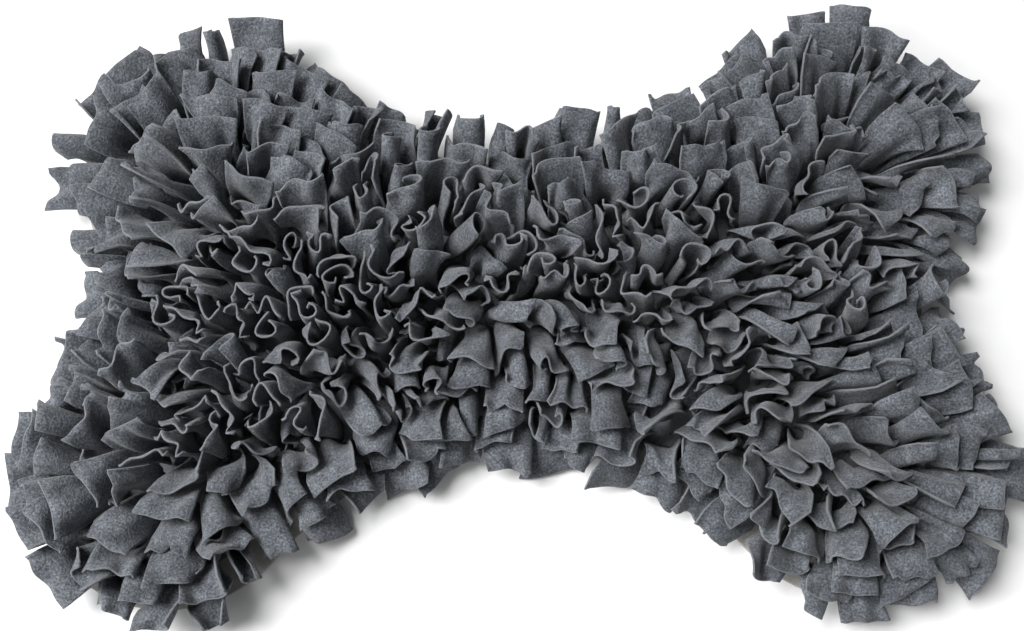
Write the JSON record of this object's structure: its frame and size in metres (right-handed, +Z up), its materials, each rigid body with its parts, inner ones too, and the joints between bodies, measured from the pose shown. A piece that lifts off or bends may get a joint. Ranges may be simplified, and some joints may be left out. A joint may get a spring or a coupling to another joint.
{
  "type": "snuffle mat",
  "caption": "Bone-shaped snuffle mat for a pet: a flat felt base covered in rows of felt flaps that hide treats.",
  "frame": {"origin": "on the underside of the base, midway between the four lobes", "axes": "+X along the bone's length to the right, +Y across it, +Z up out of the base through the pile"},
  "size_m": [0.601, 0.3834, 0.0564],
  "materials": {
    "base_felt": "pale greige needled felt, matt",
    "flap_felt": "charcoal heathered felt, soft brushed nap, matt"
  },
  "bodies": {
    "root": {"base": "base_felt", "edge_left_end_1": "flap_felt", "edge_left_end_2": "flap_felt", "edge_lower_left_1": "flap_felt", "edge_lower_left_2": "flap_felt", "edge_lower_left_3": "flap_felt", "edge_lower_left_4": "flap_felt", "edge_lower_right_1": "flap_felt", "edge_lower_right_2": "flap_felt", "edge_lower_right_3": "flap_felt", "edge_lower_right_4": "flap_felt", "edge_lower_waist_1": "flap_felt", "edge_lower_waist_2": "flap_felt", "edge_lower_waist_3": "flap_felt", "edge_right_end_1": "flap_felt", "edge_right_end_2": "flap_felt", "edge_upper_left_1": "flap_felt", "edge_upper_left_2": "flap_felt", "edge_upper_left_3": "flap_felt", "edge_upper_left_4": "flap_felt", "edge_upper_right_1": "flap_felt", "edge_upper_right_2": "flap_felt", "edge_upper_right_3": "flap_felt", "edge_upper_right_4": "flap_felt", "edge_upper_waist_1": "flap_felt", "edge_upper_waist_2": "flap_felt", "edge_upper_waist_3": "flap_felt", "row_01a": "flap_felt", "row_01b": "flap_felt", "row_02a": "flap_felt", "row_02b": "flap_felt", "row_03a": "flap_felt", "row_03b": "flap_felt", "row_04": "flap_felt", "row_05": "flap_felt", "row_06": "flap_felt", "row_07": "flap_felt", "row_08": "flap_felt", "row_09a": "flap_felt", "row_09b": "flap_felt", "row_10a": "flap_felt", "row_10b": "flap_felt"}
  },
  "joints": []
}
